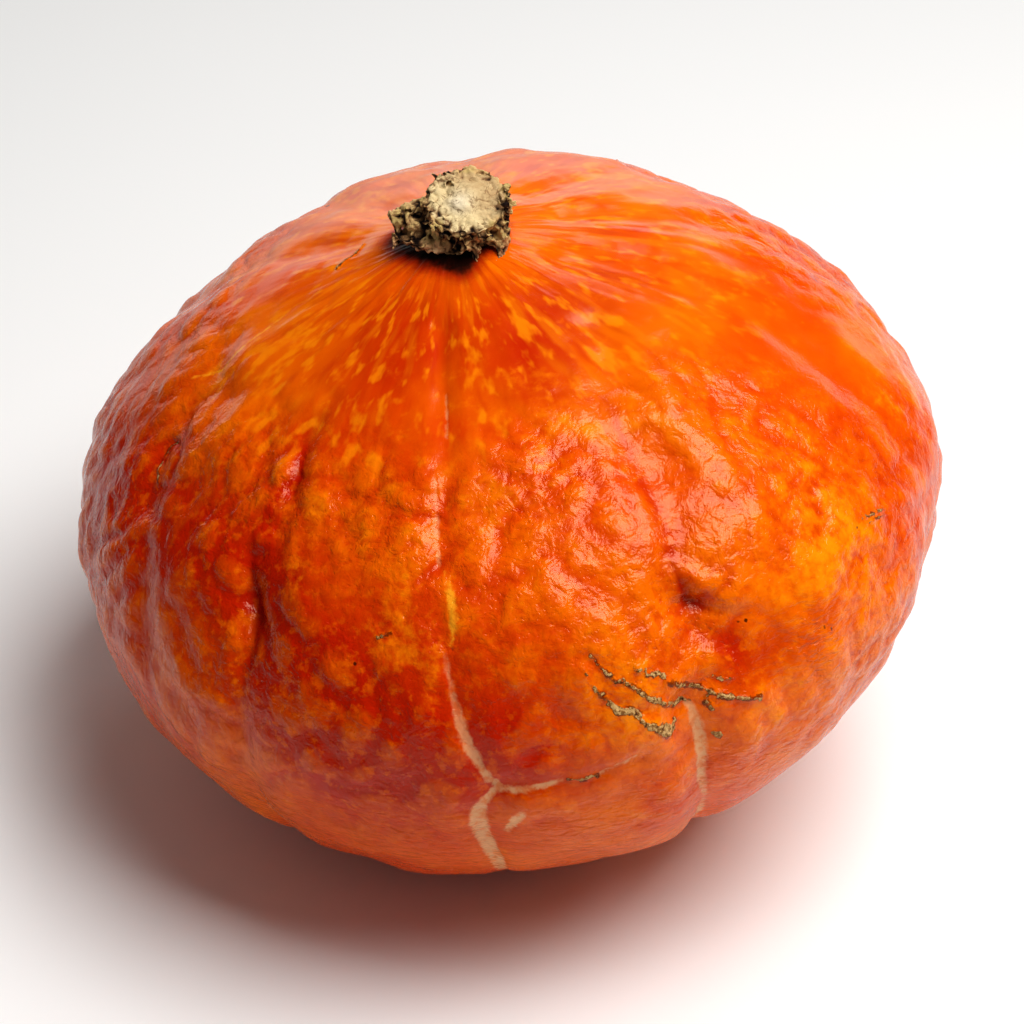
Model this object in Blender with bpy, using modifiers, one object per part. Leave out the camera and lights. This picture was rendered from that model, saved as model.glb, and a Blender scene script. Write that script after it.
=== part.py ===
"""Red kuri squash: a squat winter squash with the broken, corky stub of its stem.

The fruit grew as one body. Its skin is a distance from the fruit's centre, worked out for
every direction: a rounded double cone, out of round in three slow waves, with swells, dents,
creases, scar ridges and a lumpy skin added. A direction is two angles in degrees: polar,
counted down from the stem end, and bearing, 0 at the front (-Y) and positive towards +X.

The part stands on the flat underneath it, with its origin at the middle of its box on the floor.
"""

import math
from dataclasses import dataclass

import bmesh
import bpy
import numpy as np
from mathutils import Matrix, Vector, noise

MM = 0.001

# Overall form of the fruit.
HALF_WIDTH = 88.4 * MM
TOP_HEIGHT = 56.3 * MM
BOTTOM_DEPTH = 63.9 * MM
FULLNESS = 1.86  # 2 gives an ellipse, 1 a double cone
NECK_RISE = 2.6 * MM
NECK_SPREAD = 20.3
LEAN = 7.2  # degrees by which the stem end leans towards -X
BASE_FLAT_DEPTH = 4.0 * MM

# Waves that take the fruit out of round: share of the radius, and the bearing of the crest.
ONE_SIDED = (0.033, 124.0)
OVAL = (0.032, 18.7)
SHOULDER = (0.040, 147.0)

# Lumpy skin between the shoulder and the base.
LUMP_SIZE = 15.0 * MM
LUMP_HEIGHT = 1.3 * MM
LUMP_SEED = Vector((3.1, 7.7, 1.9))
LUMPS_FROM, LUMPS_FULL = 30.0, 55.0

# Mesh of the fruit.
CELLS = 24
SKIN_RADIUS = 85.0 * MM  # mean radius, which turns an angle into a length on the skin

# Stem, in its own frame: origin where the fruit's axis leaves the skin.
STEM_GAP = 0.3 * MM
STEM_CELL = 1.1 * MM
STEM_GRAIN_SIZE = 2.6 * MM
STEM_GRAIN_HEIGHT = 0.55 * MM
STEM_SEED = Vector((5.3, 2.2, 8.6))
CAP_CENTRE = Vector((3.2, 0.0, 7.0)) * MM
CAP_RADIUS = 8.8 * MM
CAP_UNDERSIDE_RADIUS = 7.6 * MM
CAP_THICKNESS = 4.6 * MM
CAP_TILT = 20.0  # degrees by which the broken face turns towards the front
CAP_SIDES = 40
BALL_SPACING = 0.6  # of the radius, along a root
BALL_SUBDIVISIONS = 3
FOOT_CENTRE, FOOT_RADII = (0.5, 0.8, 0.6), (10.2, 8.0, 2.2)

# Roots of the stub: start, end and the radius at each, in millimetres.
STEM_ROOTS = {
    "neck": ((1.5, 1.5, -1.0), (3.0, 1.0, 5.4), 6.6, 6.2),
    "right_wall": ((9.6, -1.0, 6.4), (9.0, -1.5, 1.0), 2.6, 2.4),
    "left_chunk": ((-8.2, 3.4, 0.6), (-7.8, 3.6, 4.4), 2.9, 2.5),
    "left_crown": ((-10.2, 2.2, 4.6), (-4.4, 2.0, 5.0), 1.7, 2.4),
    "left_leg": ((-10.4, 1.4, 3.4), (-9.8, -2.2, 0.4), 1.5, 1.4),
    "lower_lip": ((-9.2, -3.0, 0.4), (2.2, -5.4, 0.4), 1.3, 1.6),
    "lip_tooth": ((-4.4, -4.4, 0.4), (-3.6, -4.2, 2.2), 1.3, 1.1),
    "cap_tooth": ((2.8, -7.2, 4.6), (3.8, -8.0, 2.4), 2.0, 1.4),
    "left_prong": ((4.8, -7.4, 3.2), (5.8, -8.6, -1.6), 1.5, 1.4),
    "right_prong": ((10.0, -5.2, 4.8), (9.6, -7.4, -1.4), 1.9, 1.5),
}


@dataclass(frozen=True)
class Line:
    """A crease (negative rise) or ridge that follows a few (polar, bearing) points.

    A third number at a point is the share of the rise there, which is 1 where it is left out.
    """

    width: float
    rise: float
    points: tuple
    right_width: float = 0.0  # width to the right of its run, where that is another one


@dataclass(frozen=True)
class Spot:
    """A broad swell, or a dent where rise is negative, round one direction."""

    polar: float
    bearing: float
    spread: float
    rise: float


BLOSSOM_END = (176.0, 0.0)

FRONT_SEAM = Line(3.2 * MM, -0.9 * MM, (
    (24, -5.7), (40, -3.7), (52, -2.4), (57, -4.2), (65, -4.2), (68, -2.2), (81, -3.2),
    (87, -1.9), (92, 0.7), (97, -1.6), (103, -2.2), (125, -1.6), BLOSSOM_END,
))
FRONT_CROSS_SEAM = Line(2.0 * MM, -0.8 * MM, ((92.5, 0.6), (93, 6), (93, 12), (92, 17)))
LEFT_CREASE = Line(3.4 * MM, -2.1 * MM, (
    (42, -37.5, 0.2), (51, -36.5, 0.5), (55.5, -33.8, 1.0), (61, -32.9, 0.7), (66, -32.5, 0.5),
    (69, -35.8, 0.7), (72.8, -34.4, 1.2), (77.3, -32.2, 1.2), (81, -32.4, 0.7), (90, -33, 0.6),
    (120, -36, 0.8), BLOSSOM_END,
))
FAR_LEFT_CREASE = Line(4.5 * MM, -1.1 * MM, (
    (50, -80), (56, -76), (64, -71), (70, -65), (75, -58.6), (84, -52.2), (89, -43.4),
))
RIGHT_VALLEY = Line(7.0 * MM, -1.2 * MM, (
    (36, 45), (47, 37.4), (55, 33.8), (65, 30.2), (74, 27.4), (80, 27), (88, 24),
))
RIGHT_SEAM = Line(4.2 * MM, -2.4 * MM, (
    (88, 24), (92, 24.6), (99, 25.1), (115, 29), (140, 27), BLOSSOM_END,
))
RIGHT_FOLD = Line(2.0 * MM, -2.6 * MM, (
    (71, 27.2, 0.0), (73.5, 27.5, 0.4), (76, 28, 0.95), (78, 29.8, 1.0), (80.7, 33.8, 0.85),
    (82, 37.6, 0.5), (83.6, 41.4, 0.25), (86, 43.6, 0.0),
), right_width=8.0 * MM)
CREASES = (
    FRONT_SEAM, FRONT_CROSS_SEAM, LEFT_CREASE, FAR_LEFT_CREASE, RIGHT_VALLEY, RIGHT_SEAM, RIGHT_FOLD,
)

# Slow meridian furrows on the sides and back, each swaying a little on its way down.
FURROW_BEARINGS = (72.0, 108.0, 141.0, 178.0, -149.0, -117.0)
FURROW_WIDTH = 6.0 * MM
FURROW_DEPTH = 1.0 * MM
FURROW_SWAY = 3.0
FURROW_SWAY_TURNS, FURROW_SWAY_SHIFT = 2.2, 1.7
FURROW_FROM, FURROW_TO, FURROW_STEP = 22.0, 176.0, 11.0

# Corky scar ridges low on the front right.
SCAR_WIDTH = 1.1 * MM
SCAR_HEIGHT = 0.75 * MM
SCARS = (
    Line(SCAR_WIDTH, SCAR_HEIGHT, ((81, 18.8), (83, 21.6), (85.2, 24.7), (87, 27), (88.2, 30), (89.6, 33))),
    Line(SCAR_WIDTH, SCAR_HEIGHT, ((78.3, 14), (82, 16.8), (84.3, 19.3), (86.3, 21.8), (88.6, 25.5))),
    Line(SCAR_WIDTH, SCAR_HEIGHT, ((81.5, 13.3), (84.5, 15.4), (85.4, 17.3), (88, 19.2), (90.7, 21.8))),
)

# Passes that each halve the cells near some lines, within a reach along the skin.
REFINING_PASSES = (
    ((CREASES, 7.0 * MM), (SCARS, 13.0 * MM)),
    ((SCARS, 7.0 * MM), ((RIGHT_FOLD,), 4.5 * MM)),
    ((SCARS, 3.0 * MM),),
)

SPOTS = (
    Spot(54, 40, 9 * MM, 1.6 * MM),
    Spot(64, 41, 9 * MM, 1.2 * MM),
    Spot(66, 22, 9 * MM, 1.1 * MM),
    Spot(75, 43, 12 * MM, 2.2 * MM),
    Spot(76, 14, 10 * MM, 0.8 * MM),
    Spot(60, 33, 5 * MM, -1.0 * MM),
    Spot(83, 29, 8 * MM, -0.9 * MM),
    Spot(86, 9, 9 * MM, -1.2 * MM),
    Spot(67, -44, 10 * MM, 1.2 * MM),
    Spot(70, -22, 10 * MM, 1.0 * MM),
    Spot(73, -33, 7 * MM, -1.4 * MM),
    Spot(91, -76, 15 * MM, -1.1 * MM),
    Spot(77, -107, 15 * MM, 1.0 * MM),
    Spot(64, -130, 16 * MM, -1.5 * MM),
    Spot(51, 171, 15 * MM, 1.1 * MM),
    Spot(64, 131, 15 * MM, -0.8 * MM),
    Spot(118, -17, 14 * MM, 0.8 * MM),
    Spot(180, 0, 9 * MM, -3.0 * MM),
)


def direction(polar, bearing):
    """Unit vector of a polar angle and a bearing, both in degrees."""
    down, turn = math.radians(polar), math.radians(bearing)
    return np.array(
        (math.sin(down) * math.sin(turn), -math.sin(down) * math.cos(turn), math.cos(down))
    )


def smooth_step(values, low, high):
    """0 below low, 1 above high, and a smooth rise between them."""
    share = np.clip((values - low) / (high - low), 0.0, 1.0)
    return share * share * (3.0 - 2.0 * share)


def furrows():
    """The slow furrows as lines, with a sway that differs from one to the next."""
    polars = np.arange(FURROW_FROM, FURROW_TO, FURROW_STEP)
    lines = []
    for number, bearing in enumerate(FURROW_BEARINGS):
        phase = np.radians(FURROW_SWAY_TURNS * polars) + FURROW_SWAY_SHIFT * number
        swayed = bearing + FURROW_SWAY * np.sin(phase)
        points = tuple(zip(polars, swayed)) + (BLOSSOM_END,)
        lines.append(Line(FURROW_WIDTH, -FURROW_DEPTH, points))
    return lines


def beside_line(ways, line):
    """Length along the skin from each direction to a line, the share of its rise there, and its side.

    The side is above 0 to the left of the line's run and below 0 to the right.
    """
    nodes = [direction(*point[:2]) for point in line.points]
    shares = [point[2] if len(point) > 2 else 1.0 for point in line.points]
    nearest = np.full(len(ways), np.inf)
    strength, side = np.zeros(len(ways)), np.zeros(len(ways))
    for start, end, first, last in zip(nodes, nodes[1:], shares, shares[1:]):
        along = end - start
        share = np.clip((ways - start) @ along / (along @ along), 0.0, 1.0)
        gap = np.linalg.norm(ways - start - share[:, None] * along, axis=1)
        nearer = gap < nearest
        nearest = np.where(nearer, gap, nearest)
        strength = np.where(nearer, first + share * (last - first), strength)
        side = np.where(nearer, ways @ np.cross(start, end), side)
    return nearest * SKIN_RADIUS, strength, side


def line_relief(ways, line):
    """What one crease or ridge adds to the smooth form."""
    gap, strength, side = beside_line(ways, line)
    width = np.where(side < 0.0, line.right_width or line.width, line.width)
    return line.rise * strength * np.exp(-((gap / width) ** 2))


def rounded_cone(ways):
    """Distance of the smooth form from the centre, out of round in three slow waves."""
    polar = np.arccos(np.clip(ways[:, 2], -1.0, 1.0))
    bearing = np.arctan2(ways[:, 0], -ways[:, 1])
    height = np.where(ways[:, 2] > 0.0, TOP_HEIGHT, BOTTOM_DEPTH)
    side, up = np.abs(np.sin(polar)), np.abs(np.cos(polar))
    form = ((side / HALF_WIDTH) ** FULLNESS + (up / height) ** FULLNESS) ** (-1.0 / FULLNESS)
    form += NECK_RISE * np.exp(-((polar / math.radians(NECK_SPREAD)) ** 2))
    share, crest = ONE_SIDED
    waves = share * np.cos(bearing - math.radians(crest)) * side
    share, crest = OVAL
    waves += share * np.cos(2.0 * (bearing - math.radians(crest))) * side**2
    share, crest = SHOULDER
    waves += share * np.cos(bearing - math.radians(crest)) * np.sin(2.0 * polar)
    return form * (1.0 + waves)


def relief(ways):
    """What creases, scars, swells and lumps add to the smooth form."""
    added = np.zeros(len(ways))
    for line in (*CREASES, *furrows(), *SCARS):
        added += line_relief(ways, line)
    for spot in SPOTS:
        gap = np.linalg.norm(ways - direction(spot.polar, spot.bearing), axis=1) * SKIN_RADIUS
        added += spot.rise * np.exp(-((gap / spot.spread) ** 2))
    scale = SKIN_RADIUS / LUMP_SIZE
    lumps = np.array([noise.noise(Vector(way) * scale + LUMP_SEED) for way in ways])
    polar = np.degrees(np.arccos(np.clip(ways[:, 2], -1.0, 1.0)))
    return added + LUMP_HEIGHT * smooth_step(polar, LUMPS_FROM, LUMPS_FULL) * lumps


def lean_matrix():
    """Rotation that leans the fruit's axis towards -X."""
    return Matrix.Rotation(math.radians(-LEAN), 3, "Y")


def vertex_array(bm):
    """Positions of a bmesh's vertices, one row each."""
    return np.array([vert.co for vert in bm.verts])


def set_vertices(bm, positions):
    """Move a bmesh's vertices to the given rows."""
    for vert, position in zip(bm.verts, positions):
        vert.co = position


def sphere_grid():
    """A unit sphere of even square cells, from a cube with its faces divided."""
    bm = bmesh.new()
    bmesh.ops.create_cube(bm, size=2.0)
    bmesh.ops.subdivide_edges(bm, edges=bm.edges, cuts=CELLS - 1, use_grid_fill=True)
    evened = np.tan(vertex_array(bm) * math.pi / 4.0)
    set_vertices(bm, evened / np.linalg.norm(evened, axis=1)[:, None])
    return bm


def refine_once(bm, groups):
    """Halve the cells that lie within reach of each group's lines."""
    ways = vertex_array(bm)
    near = np.zeros(len(ways), dtype=bool)
    for lines, reach in groups:
        for line in lines:
            near |= beside_line(ways, line)[0] < reach
    bm.verts.index_update()
    edges = [edge for edge in bm.edges if all(near[vert.index] for vert in edge.verts)]
    bmesh.ops.subdivide_edges(bm, edges=edges, cuts=1, use_grid_fill=True)
    ways = vertex_array(bm)
    set_vertices(bm, ways / np.linalg.norm(ways, axis=1)[:, None])


def shape_fruit(bm, raised=0.0):
    """Move a unit sphere's points onto the fruit's skin, leaned, with the base pressed flat."""
    ways = vertex_array(bm)
    distance = rounded_cone(ways) + relief(ways) + raised
    placed = (ways * distance[:, None]) @ np.array(lean_matrix()).T
    floor = placed[:, 2].min() + BASE_FLAT_DEPTH
    placed[:, 2] = np.maximum(placed[:, 2], floor)
    set_vertices(bm, placed)


def box_foot(bm):
    """Middle of the lowest side of a bmesh's box."""
    placed = vertex_array(bm)
    low, high = placed.min(axis=0), placed.max(axis=0)
    return Vector(((low[0] + high[0]) / 2.0, (low[1] + high[1]) / 2.0, low[2]))


def finish_object(bm, name, collection, material):
    """Turn a bmesh into a smooth-shaded object of the collection."""
    bmesh.ops.triangulate(bm, faces=bm.faces)
    bmesh.ops.recalc_face_normals(bm, faces=bm.faces)
    mesh = bpy.data.meshes.new(name)
    bm.to_mesh(mesh)
    bm.free()
    mesh.shade_smooth()
    mesh.materials.append(material)
    made = bpy.data.objects.new(name, mesh)
    collection.objects.link(made)
    return made


def principled(name, colour, roughness):
    """A material with one Principled BSDF."""
    material = bpy.data.materials.new(name)
    material.use_nodes = True
    shader = material.node_tree.nodes["Principled BSDF"]
    shader.inputs["Base Color"].default_value = (*colour, 1.0)
    shader.inputs["Roughness"].default_value = roughness
    shader.inputs["Metallic"].default_value = 0.0
    return material


def make_fruit(collection):
    """The fruit, and the point that every piece is placed from."""
    bm = sphere_grid()
    for groups in REFINING_PASSES:
        refine_once(bm, groups)
    shape_fruit(bm)
    foot = box_foot(bm)
    bmesh.ops.translate(bm, verts=bm.verts, vec=-foot)
    skin = principled("squash_skin", (0.78, 0.10, 0.008), 0.34)
    return finish_object(bm, "fruit", collection, skin), foot


def stem_seat():
    """Where the fruit's axis leaves the skin, before the part is placed on its box."""
    top = np.array([direction(0.0, 0.0)])
    return lean_matrix() @ Vector((0.0, 0.0, float((rounded_cone(top) + relief(top))[0])))


def lump(bm, centre, radii):
    """An ellipsoid of the stem, with its centre and radii in millimetres."""
    size = Matrix.Diagonal((*(Vector(radii) * MM), 1.0))
    place = Matrix.Translation(Vector(centre) * MM) @ size
    bmesh.ops.create_icosphere(bm, subdivisions=BALL_SUBDIVISIONS, radius=1.0, matrix=place)


def root(bm, start, end, start_radius, end_radius):
    """A tapered run of overlapping balls between two points, all in millimetres."""
    start, end = Vector(start), Vector(end)
    steps = math.ceil((end - start).length / (BALL_SPACING * min(start_radius, end_radius)))
    for step in range(steps + 1):
        share = step / steps
        radius = start_radius + (end_radius - start_radius) * share
        lump(bm, start.lerp(end, share), (radius, radius, radius))


def stem_lumps(bm):
    """The stub's cap with its broken face, its foot and all its roots."""
    tilt = Matrix.Rotation(math.radians(CAP_TILT), 4, "X")
    bmesh.ops.create_cone(
        bm, cap_ends=True, segments=CAP_SIDES, radius1=CAP_UNDERSIDE_RADIUS, radius2=CAP_RADIUS,
        depth=CAP_THICKNESS, matrix=Matrix.Translation(CAP_CENTRE) @ tilt,
    )
    lump(bm, FOOT_CENTRE, FOOT_RADII)
    for run in STEM_ROOTS.values():
        root(bm, *run)


def evaluated_bmesh(made):
    """A bmesh of an object with its modifiers applied."""
    evaluated = made.evaluated_get(bpy.context.evaluated_depsgraph_get())
    bm = bmesh.new()
    bm.from_mesh(bpy.data.meshes.new_from_object(evaluated))
    return bm


def shell_of(seed):
    """Every vertex joined to one vertex by edges."""
    found, fresh = {seed}, [seed]
    while fresh:
        vert = fresh.pop()
        joined = {edge.other_vert(vert) for edge in vert.link_edges} - found
        found |= joined
        fresh.extend(joined)
    return found


def keep_outer_shell(bm):
    """Fill sealed hollows and drop scraps, by keeping only the shell with the most vertices."""
    left, shells = set(bm.verts), []
    while left:
        shells.append(shell_of(next(iter(left))))
        left -= shells[-1]
    outer = max(shells, key=len)
    bmesh.ops.delete(bm, geom=[vert for vert in bm.verts if vert not in outer], context="VERTS")


def roughen(bm):
    """Push a mesh in and out along its normals by a corky grain."""
    for vert in bm.verts:
        vert.normal_update()
    grain = [noise.noise(vert.co / STEM_GRAIN_SIZE + STEM_SEED) for vert in bm.verts]
    for vert, height in zip(bm.verts, grain):
        vert.co += vert.normal * STEM_GRAIN_HEIGHT * height


def make_stem_blank(collection, material):
    """The stub before its underside is cut to the fruit, as one skin round all its lumps."""
    bm = bmesh.new()
    stem_lumps(bm)
    blank = finish_object(bm, "stem_lumps", collection, material)
    remesh = blank.modifiers.new("one_skin", "REMESH")
    remesh.mode = "VOXEL"
    remesh.voxel_size = STEM_CELL
    bpy.context.view_layer.update()
    bm = evaluated_bmesh(blank)
    bpy.data.objects.remove(blank)
    keep_outer_shell(bm)
    roughen(bm)
    return bm


def make_seat_cutter(collection, foot, material):
    """The fruit's form raised by the gap, which shapes the underside of the stem."""
    bm = sphere_grid()
    shape_fruit(bm, STEM_GAP)
    bmesh.ops.translate(bm, verts=bm.verts, vec=-foot)
    cutter = finish_object(bm, "stem_seat_cutter", collection, material)
    cutter.hide_render = True
    cutter.display_type = "WIRE"
    return cutter


def make_stem(collection, cutters, foot):
    """The corky stub, seated on the fruit."""
    cork = principled("stem_cork", (0.46, 0.33, 0.17), 0.85)
    bm = make_stem_blank(cutters, cork)
    seat = Matrix.Translation(stem_seat() - foot)
    bmesh.ops.transform(bm, verts=bm.verts, matrix=seat)
    stem = finish_object(bm, "stem", collection, cork)
    cut = stem.modifiers.new("seat", "BOOLEAN")
    cut.operation = "DIFFERENCE"
    cut.solver = "MANIFOLD"  # EXACT loses most of the rough stub here
    cut.object = make_seat_cutter(cutters, foot, cork)
    return stem


def new_collection(name):
    """A collection under the scene's own."""
    made = bpy.data.collections.new(name)
    bpy.context.scene.collection.children.link(made)
    return made


def main():
    """Clear the scene and model the squash."""
    for old in list(bpy.data.objects):
        bpy.data.objects.remove(old)
    squash = new_collection("red_kuri_squash")
    cutters = new_collection("cutters")
    fruit, foot = make_fruit(squash)
    stem = make_stem(squash, cutters, foot)
    stem.parent = fruit


main()
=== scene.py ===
"""Looks of the red kuri squash: its waxy rind, cream seams, corky scars and dry stem stub.

Lengths are in millimetres where a name doesn't say otherwise, and meshes are scaled to metres
as they are made. A direction from the fruit's centre is two angles in degrees: polar, counted
down from the stem end, and bearing, 0 at the front (-Y) and positive towards +X.
"""

import logging
import math
import random
from dataclasses import dataclass, field
from enum import Enum
from typing import Any, Callable, Sequence

import bmesh
import bpy
import numpy as np
from mathutils import Euler, Matrix, Vector, noise


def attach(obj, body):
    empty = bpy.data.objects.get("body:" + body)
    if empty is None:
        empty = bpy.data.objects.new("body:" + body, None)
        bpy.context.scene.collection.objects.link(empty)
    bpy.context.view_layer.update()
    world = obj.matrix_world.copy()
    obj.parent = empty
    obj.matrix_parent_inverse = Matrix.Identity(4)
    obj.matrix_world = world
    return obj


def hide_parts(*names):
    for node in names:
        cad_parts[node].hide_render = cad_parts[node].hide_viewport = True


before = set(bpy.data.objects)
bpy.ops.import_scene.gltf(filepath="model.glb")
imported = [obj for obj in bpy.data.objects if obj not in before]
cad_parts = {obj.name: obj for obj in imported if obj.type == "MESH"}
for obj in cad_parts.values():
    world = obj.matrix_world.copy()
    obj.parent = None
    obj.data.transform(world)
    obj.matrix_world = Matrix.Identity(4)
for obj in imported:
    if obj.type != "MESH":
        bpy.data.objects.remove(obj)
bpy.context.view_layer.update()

MM = 0.001
BODY = "root"

log = logging.getLogger("squash")

Points = tuple[tuple[float, ...], ...]


class Node(Enum):
    """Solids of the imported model."""

    FRUIT = "fruit"
    STEM = "stem"


class Slot(Enum):
    """Material slots of the record."""

    RIND = "squash_skin"
    CORK = "stem_cork"


def paint(code: str) -> tuple[float, float, float, float]:
    """Turn a display colour such as F05000 into the linear colour that a shader takes.

    Args:
        code: Six hexadecimal digits, red first.

    Returns:
        Red, green, blue and alpha.
    """
    parts = [int(code[start:start + 2], 16) / 255.0 for start in (0, 2, 4)]
    linear = [part / 12.92 if part <= 0.04045 else ((part + 0.055) / 1.055) ** 2.4 for part in parts]
    return (*linear, 1.0)


def direction(polar: float, bearing: float) -> np.ndarray:
    """Unit vector of a polar angle and a bearing.

    Args:
        polar: Degrees down from the stem end.
        bearing: Degrees from the front towards +X.

    Returns:
        The vector, in the fruit's own upright axes.
    """
    down, turn = math.radians(polar), math.radians(bearing)
    return np.array(
        (math.sin(down) * math.sin(turn), -math.sin(down) * math.cos(turn), math.cos(down))
    )


def smooth_step(values: np.ndarray, low: float, high: float) -> np.ndarray:
    """Rise smoothly from 0 at low to 1 at high; low may be the larger of the two."""
    share = np.clip((values - low) / (high - low), 0.0, 1.0)
    return share * share * (3.0 - 2.0 * share)


def bell(gap: np.ndarray, spread: float | np.ndarray) -> np.ndarray:
    """Bell curve of a gap, 1 at no gap and 0.37 at the spread."""
    return np.exp(-((gap / spread) ** 2))


def grain(places: np.ndarray, size: float, seed: float) -> np.ndarray:
    """Smooth noise at many places.

    Args:
        places: One row of three numbers for each place.
        size: Size of the noise's lumps, in the places' own unit.
        seed: Any number; another one gives other lumps.

    Returns:
        A value from about -1 to 1 for each place.
    """
    shift = Vector((seed, seed * 1.7 + 3.1, seed * 0.6 + 7.9))
    return np.array([noise.noise(Vector(place) / size + shift) for place in places])


def swirl(places: np.ndarray, size: float, reach: float, seed: float) -> np.ndarray:
    """Shift places by smooth noise, so that a pattern laid over them is drawn out of true.

    Args:
        places: One row of three numbers for each place.
        size: Size of the noise's lumps, in the places' own unit.
        reach: How far a place may shift.
        seed: Any number; another one gives other shifts.

    Returns:
        The shifted places.
    """
    shifts = [Vector((seed + apart, seed * 2.3 + 1.3, seed * 0.4 + 5.1)) for apart in (0.0, 17.3, 41.7)]
    pushes = [[noise.noise(Vector(place) / size + shift) for shift in shifts] for place in places]
    return places + reach * np.array(pushes)


def creased(places: np.ndarray, size: float, seed: float) -> np.ndarray:
    """Noise folded into sharp valleys: 0 in a valley and 1 far from one.

    Args:
        places: One row of three numbers for each place.
        size: Size of the noise's lumps, in the places' own unit.
        seed: Any number; another one gives other valleys.

    Returns:
        A value from 0 to 1 for each place.
    """
    return np.clip(np.abs(grain(places, size, seed)) * 2.2, 0.0, 1.0)


@dataclass(frozen=True)
class Fold:
    """A crease, furrow or ridge along (polar, bearing) points; rise is negative in a crease.

    A third number at a point is the share of the rise there, which is 1 where it is left out.
    """

    width: float
    rise: float
    points: Points
    right_width: float = 0.0


@dataclass(frozen=True)
class Swell:
    """A broad swell of the skin round one direction, or a dent where rise is negative."""

    polar: float
    bearing: float
    spread: float
    rise: float


@dataclass(frozen=True)
class SkinForm:
    """Form of the fruit, the same as its solid: a rounded double cone with folds and swells."""

    half_width: float = 88.4
    top_height: float = 56.3
    bottom_depth: float = 63.9
    fullness: float = 1.86
    neck_rise: float = 2.6
    neck_spread: float = 20.3
    lean: float = 7.2
    base_flat_depth: float = 4.0
    one_sided: tuple[float, float] = (0.033, 124.0)
    oval: tuple[float, float] = (0.032, 18.7)
    shoulder: tuple[float, float] = (0.040, 147.0)
    radius: float = 85.0
    lump_size: float = 15.0
    lump_height: float = 1.3
    lump_seed: tuple[float, float, float] = (3.1, 7.7, 1.9)
    lumps_from: float = 30.0
    lumps_full: float = 55.0
    furrow_bearings: tuple[float, ...] = (72.0, 108.0, 141.0, 178.0, -149.0, -117.0)
    furrow_width: float = 6.0
    furrow_depth: float = 1.0
    furrow_sway: float = 3.0
    furrow_sway_turns: float = 2.2
    furrow_sway_shift: float = 1.7
    furrow_range: tuple[float, float, float] = (22.0, 176.0, 11.0)
    blossom_end: tuple[float, float] = (176.0, 0.0)
    folds: tuple[Fold, ...] = (
        Fold(3.2, -0.9, (
            (24, -5.7), (40, -3.7), (52, -2.4), (57, -4.2), (65, -4.2), (68, -2.2), (81, -3.2),
            (87, -1.9), (92, 0.7), (97, -1.6), (103, -2.2), (125, -1.6), (176, 0),
        )),
        Fold(2.0, -0.8, ((92.5, 0.6), (93, 6), (93, 12), (92, 17))),
        Fold(3.4, -2.1, (
            (42, -37.5, 0.2), (51, -36.5, 0.5), (55.5, -33.8, 1.0), (61, -32.9, 0.7),
            (66, -32.5, 0.5), (69, -35.8, 0.7), (72.8, -34.4, 1.2), (77.3, -32.2, 1.2),
            (81, -32.4, 0.7), (90, -33, 0.6), (120, -36, 0.8), (176, 0),
        )),
        Fold(4.5, -1.1, (
            (50, -80), (56, -76), (64, -71), (70, -65), (75, -58.6), (84, -52.2), (89, -43.4),
        )),
        Fold(7.0, -1.2, (
            (36, 45), (47, 37.4), (55, 33.8), (65, 30.2), (74, 27.4), (80, 27), (88, 24),
        )),
        Fold(4.2, -2.4, ((88, 24), (92, 24.6), (99, 25.1), (115, 29), (140, 27), (176, 0))),
        Fold(2.0, -2.6, (
            (71, 27.2, 0.0), (73.5, 27.5, 0.4), (76, 28, 0.95), (78, 29.8, 1.0),
            (80.7, 33.8, 0.85), (82, 37.6, 0.5), (83.6, 41.4, 0.25), (86, 43.6, 0.0),
        ), right_width=8.0),
    )
    swells: tuple[Swell, ...] = (
        Swell(54, 40, 9, 1.6),
        Swell(64, 41, 9, 1.2),
        Swell(66, 22, 9, 1.1),
        Swell(75, 43, 12, 2.2),
        Swell(76, 14, 10, 0.8),
        Swell(60, 33, 5, -1.0),
        Swell(83, 29, 8, -0.9),
        Swell(86, 9, 9, -1.2),
        Swell(67, -44, 10, 1.2),
        Swell(70, -22, 10, 1.0),
        Swell(73, -33, 7, -1.4),
        Swell(91, -76, 15, -1.1),
        Swell(77, -107, 15, 1.0),
        Swell(64, -130, 16, -1.5),
        Swell(51, 171, 15, 1.1),
        Swell(64, 131, 15, -0.8),
        Swell(118, -17, 14, 0.8),
        Swell(180, 0, 9, -3.0),
    )

    def furrows(self) -> list[Fold]:
        """Slow furrows on the sides and back, each swaying on its way to the blossom end."""
        polars = np.arange(*self.furrow_range)
        made = []
        for number, bearing in enumerate(self.furrow_bearings):
            phase = np.radians(self.furrow_sway_turns * polars) + self.furrow_sway_shift * number
            swayed = bearing + self.furrow_sway * np.sin(phase)
            made.append(Fold(
                self.furrow_width, -self.furrow_depth, (*zip(polars, swayed), self.blossom_end),
            ))
        return made

    def beside(
        self, ways: np.ndarray, points: Points, plain: float
    ) -> tuple[np.ndarray, np.ndarray, np.ndarray]:
        """Where each direction lies beside a line on the skin.

        Args:
            ways: Unit directions, one row each.
            points: The line's (polar, bearing) points, some with a third number.
            plain: The third number of a point that has none.

        Returns:
            Millimetres to the line, its third number there, and its side, below 0 on the right.
        """
        spots = [direction(*point[:2]) for point in points]
        thirds = [point[2] if len(point) > 2 else plain for point in points]
        nearest = np.full(len(ways), np.inf)
        third, side = np.zeros(len(ways)), np.zeros(len(ways))
        for here, there, first, last in zip(spots, spots[1:], thirds, thirds[1:]):
            along = there - here
            share = np.clip((ways - here) @ along / (along @ along), 0.0, 1.0)
            gap = np.linalg.norm(ways - here - share[:, None] * along, axis=1)
            nearer = gap < nearest
            nearest = np.where(nearer, gap, nearest)
            third = np.where(nearer, first + share * (last - first), third)
            side = np.where(nearer, ways @ np.cross(here, there), side)
        return nearest * self.radius, third, side

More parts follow.
